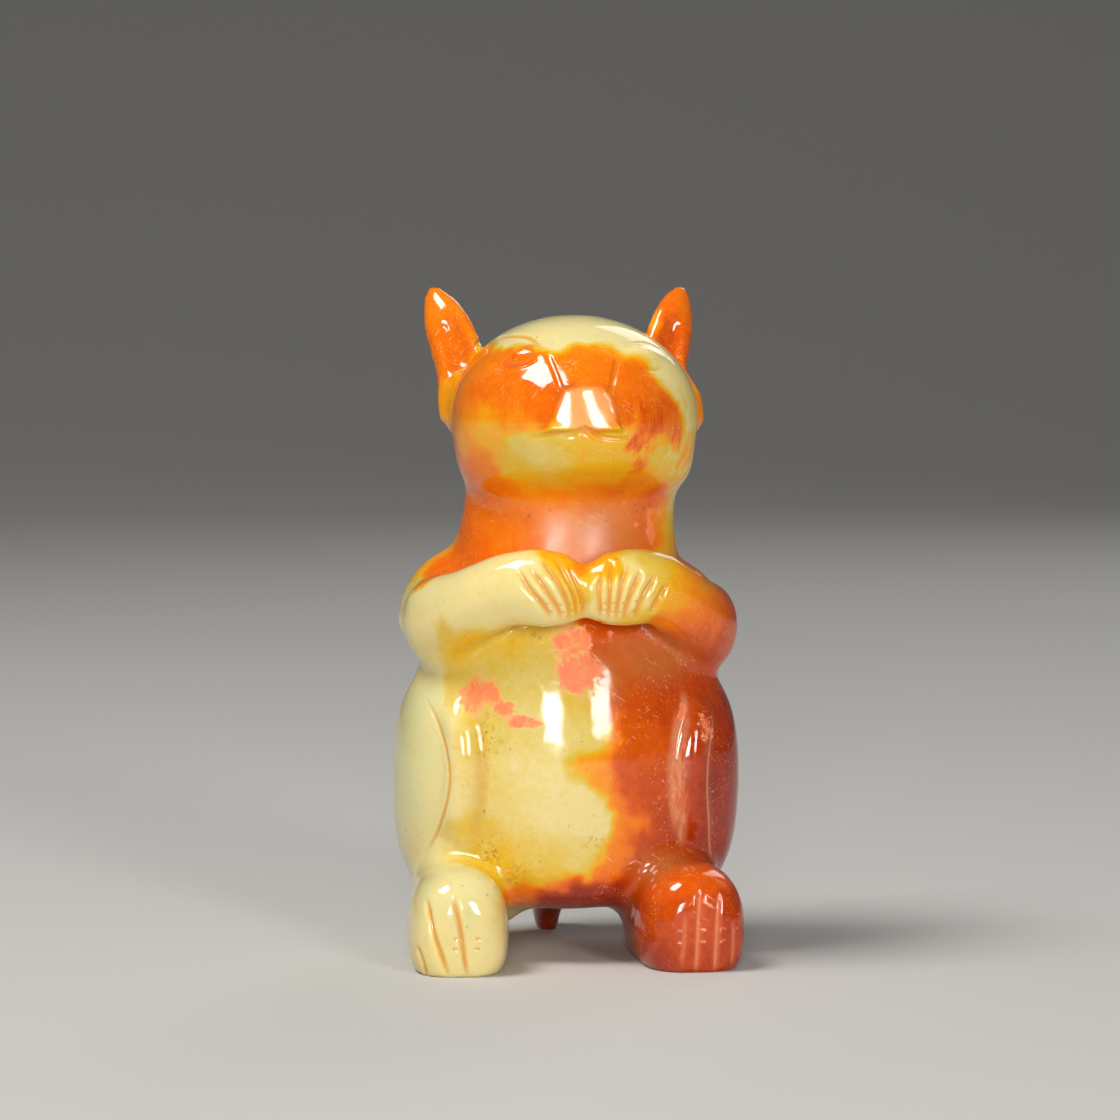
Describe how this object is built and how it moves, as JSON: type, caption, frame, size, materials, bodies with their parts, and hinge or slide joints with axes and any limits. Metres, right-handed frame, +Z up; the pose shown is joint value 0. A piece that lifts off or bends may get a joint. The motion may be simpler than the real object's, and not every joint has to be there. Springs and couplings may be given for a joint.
{
  "type": "jade rabbit carving",
  "caption": "Small polished jade carving of a rabbit that squats upright, with its forepaws held together under its chin and its ears laid back.",
  "frame": {"origin": "centre of the bounding box in plan, at the ground plane under the hind paws and the tail", "axes": "+Z up along the standing body, -Y the way the rabbit faces, +X to the viewer's right"},
  "size_m": [0.0354, 0.0364, 0.068],
  "materials": {
    "jade": "polished and slightly translucent nephrite, pale green and cream with golden and russet skin"
  },
  "bodies": {
    "root": {"jade_rabbit": "jade"}
  },
  "joints": []
}
